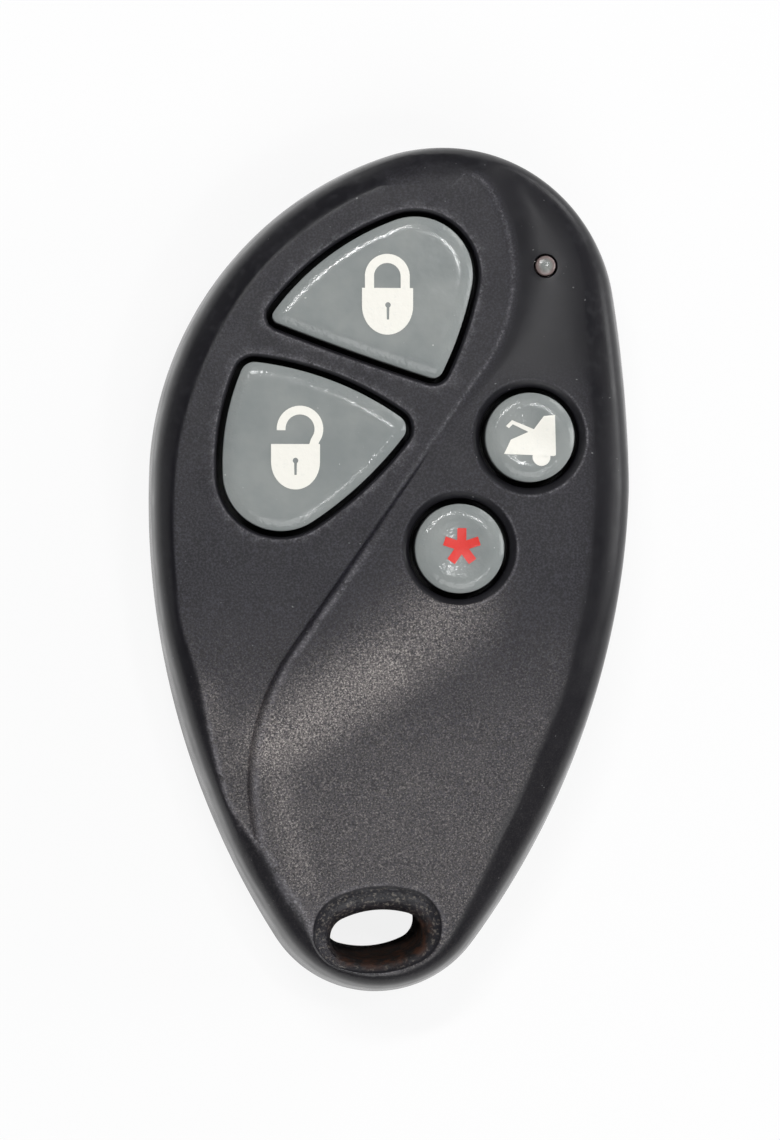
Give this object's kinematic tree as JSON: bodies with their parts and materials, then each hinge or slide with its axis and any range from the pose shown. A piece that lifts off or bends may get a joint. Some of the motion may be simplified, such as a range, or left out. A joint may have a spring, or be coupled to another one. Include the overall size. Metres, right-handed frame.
{
  "type": "car alarm remote",
  "caption": "Hand-held car alarm remote: two-part case with an S-shaped step, rubber keys over tact switches, a status light and a key ring hole.",
  "frame": {"origin": "middle of the flat back of the case", "axes": "+Z out of the keyed face, +Y towards the end with the status light, +X to the right of the face"},
  "size_m": [0.0376, 0.066, 0.0139],
  "materials": {
    "case_plastic": "near-black moulded ABS, fine matt grain",
    "key_rubber": "grey silicone, satin",
    "zinc_plated_steel": "zinc plated",
    "switch_plastic": "moulded nylon",
    "plunger_plastic": "moulded nylon",
    "tinned_steel": "tinned",
    "board_laminate": "glass epoxy with green solder mask",
    "tinned_copper": "tinned copper",
    "chip_plastic": "moulding compound",
    "gold_plated_lid": "plated lid",
    "ceramic": "fired ceramic",
    "lamp_resin": "clear epoxy",
    "clear_acrylic": "clear acrylic, slightly clouded",
    "cell_steel": "nickel plated",
    "spring_steel": "nickel plated spring steel"
  },
  "bodies": {
    "case": {"front_cover": "case_plastic", "rear_cover": "case_plastic", "case_screws": "zinc_plated_steel", "keypad_mat": "key_rubber", "switch_bases": "switch_plastic", "switch_covers": "tinned_steel", "switch_leads": "tinned_steel", "circuit_board": "board_laminate", "loop_antenna": "tinned_copper", "encoder_chip": "chip_plastic", "encoder_leads": "tinned_steel", "saw_resonator": "gold_plated_lid", "radio_transistor": "chip_plastic", "transistor_leads": "tinned_steel", "clock_crystal": "tinned_steel", "radio_inductor": "ceramic", "chip_capacitors": "ceramic", "chip_resistors": "chip_plastic", "status_led": "lamp_resin", "light_pipe": "clear_acrylic", "cell_can": "cell_steel", "cell_cap": "cell_steel", "battery_plus_clip": "spring_steel", "battery_minus_contact": "spring_steel", "lock_key_web": "key_rubber", "lock_dome": "spring_steel", "unlock_key_web": "key_rubber", "unlock_dome": "spring_steel", "trunk_key_web": "key_rubber", "trunk_dome": "spring_steel", "star_key_web": "key_rubber", "star_dome": "spring_steel"},
    "lock_key": {"lock_key": "key_rubber"},
    "lock_plunger": {"lock_plunger": "plunger_plastic"},
    "unlock_key": {"unlock_key": "key_rubber"},
    "unlock_plunger": {"unlock_plunger": "plunger_plastic"},
    "trunk_key": {"trunk_key": "key_rubber"},
    "trunk_plunger": {"trunk_plunger": "plunger_plastic"},
    "star_key": {"star_key": "key_rubber"},
    "star_plunger": {"star_plunger": "plunger_plastic"}
  },
  "joints": [
    {"name": "lock_key_press", "type": "slide", "parent": "case", "child": "lock_key", "axis": [0, 0, -1], "range_m": [0, 0.00025], "stiffness_N_per_m": 6000, "deforming": ["lock_key_web"]},
    {"name": "lock_plunger_slide", "type": "slide", "parent": "case", "child": "lock_plunger", "axis": [0, 0, -1], "range_m": [0, 0.00025], "deforming": ["lock_dome"]},
    {"name": "unlock_key_press", "type": "slide", "parent": "case", "child": "unlock_key", "axis": [0, 0, -1], "range_m": [0, 0.00025], "stiffness_N_per_m": 6000, "deforming": ["unlock_key_web"]},
    {"name": "unlock_plunger_slide", "type": "slide", "parent": "case", "child": "unlock_plunger", "axis": [0, 0, -1], "range_m": [0, 0.00025], "deforming": ["unlock_dome"]},
    {"name": "trunk_key_press", "type": "slide", "parent": "case", "child": "trunk_key", "axis": [0, 0, -1], "range_m": [0, 0.00025], "stiffness_N_per_m": 6000, "deforming": ["trunk_key_web"]},
    {"name": "trunk_plunger_slide", "type": "slide", "parent": "case", "child": "trunk_plunger", "axis": [0, 0, -1], "range_m": [0, 0.00025], "deforming": ["trunk_dome"]},
    {"name": "star_key_press", "type": "slide", "parent": "case", "child": "star_key", "axis": [0, 0, -1], "range_m": [0, 0.00025], "stiffness_N_per_m": 6000, "deforming": ["star_key_web"]},
    {"name": "star_plunger_slide", "type": "slide", "parent": "case", "child": "star_plunger", "axis": [0, 0, -1], "range_m": [0, 0.00025], "deforming": ["star_dome"]}
  ],
  "couplings": [
    {"joint": "lock_plunger_slide", "follows": "lock_key_press", "ratio": 1},
    {"joint": "unlock_plunger_slide", "follows": "unlock_key_press", "ratio": 1},
    {"joint": "trunk_plunger_slide", "follows": "trunk_key_press", "ratio": 1},
    {"joint": "star_plunger_slide", "follows": "star_key_press", "ratio": 1}
  ]
}
